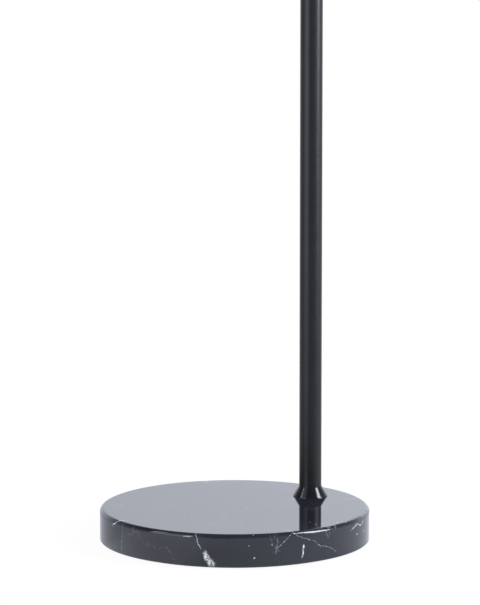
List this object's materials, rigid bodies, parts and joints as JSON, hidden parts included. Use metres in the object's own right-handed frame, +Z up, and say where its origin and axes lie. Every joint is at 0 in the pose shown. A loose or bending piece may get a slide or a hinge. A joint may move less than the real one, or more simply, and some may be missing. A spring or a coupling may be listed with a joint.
{
  "type": "torchiere floor lamp",
  "caption": "Torchiere floor lamp: up-facing tilting bowl on a bent pole with a rotary dimmer, set off-centre in a thick round marble base.",
  "frame": {"origin": "centre of the base's underside, on the floor", "axes": "+Z up; +Y towards the rear, where the pole stands and the cord enters; +X to the right seen from the front"},
  "size_m": [0.3, 0.3, 1.8262],
  "materials": {
    "felt": "black needle felt",
    "marble": "polished black marble with white veins",
    "gloss_paint": "gloss black paint",
    "satin_paint": "satin black powder coat",
    "bowl_paint": "satin black outside, white enamel inside",
    "zinc": "bright zinc plate",
    "turned_steel": "turned and blackened steel",
    "nylon": "black nylon",
    "rubber": "moulded rubber",
    "cord_jacket": "flexible PVC jacket",
    "knob_plastic": "fine-textured moulded plastic",
    "shaft_steel": "turned steel",
    "board": "green circuit board",
    "control_case": "pressed case",
    "terminal": "pale moulded plastic",
    "ferrite": "wound ferrite",
    "capacitor": "dipped film",
    "holder_plastic": "black phenolic moulding",
    "holder_ceramic": "unglazed steatite",
    "holder_brass": "nickelled brass",
    "bulb_cap": "rolled aluminium thread",
    "bulb_pip": "solder pip",
    "bulb_body": "white moulded plastic",
    "led_plate": "white solder mask",
    "bulb_dome": "opal plastic"
  },
  "bodies": {
    "stand": {"base_pad": "felt", "marble_slab": "marble", "base_collar": "gloss_paint", "pole_lower": "satin_paint", "pole_middle": "satin_paint", "pole_upper": "satin_paint", "dimmer_lower_cap": "satin_paint", "dimmer_upper_cap": "satin_paint", "dimmer_shell": "satin_paint", "base_washer": "zinc", "base_star_washer": "zinc", "base_nut": "zinc", "base_stud": "zinc", "pole_joiner": "zinc", "lower_pole_foot_insert": "zinc", "lower_pole_head_insert": "zinc", "middle_pole_foot_insert": "zinc", "middle_pole_head_insert": "zinc", "upper_pole_foot_insert": "zinc", "dimmer_lower_stud": "zinc", "dimmer_upper_stud": "zinc", "pivot_flat_washer": "zinc", "pivot_lock_nut": "zinc", "pivot_wave_washer": "zinc", "dimmer_control_nut": "zinc", "pivot_spigot": "turned_steel", "pivot_thrust_washer": "nylon", "cord_gland": "rubber", "collar_gasket": "rubber", "supply_lead": "cord_jacket", "lamp_lead": "cord_jacket", "dimmer_board": "board", "dimmer_control": "control_case", "supply_terminal": "terminal", "lamp_terminal": "terminal", "dimmer_choke": "ferrite", "dimmer_capacitor": "capacitor"},
    "head": {"tilt_hub": "satin_paint", "hub_cap": "satin_paint", "head_stud": "zinc", "fitter_cup": "gloss_paint", "bowl": "bowl_paint", "bowl_ring": "holder_plastic", "holder_base": "holder_plastic", "holder_shell": "holder_plastic", "holder_core": "holder_ceramic", "holder_sleeve": "holder_brass", "holder_contact": "holder_brass", "holder_terminal_screws": "zinc", "holder_lead": "cord_jacket", "bulb_pip": "bulb_pip", "bulb_cap": "bulb_cap", "bulb_body": "bulb_body", "bulb_led_plate": "led_plate", "bulb_dome": "bulb_dome"},
    "knob": {"dimmer_knob": "knob_plastic", "dimmer_shaft": "shaft_steel", "knob_grub_screw": "zinc"}
  },
  "joints": [
    {"name": "head_tilt", "type": "hinge", "parent": "stand", "child": "head", "pos_m": [0, 0, 1.66], "axis": [0, 1, 0], "range_deg": [-90, 90]},
    {"name": "dimmer_turn", "type": "hinge", "parent": "stand", "child": "knob", "pos_m": [0, 0.104, 1.271], "axis": [0, 1, 0], "range_deg": [-150, 150]}
  ]
}
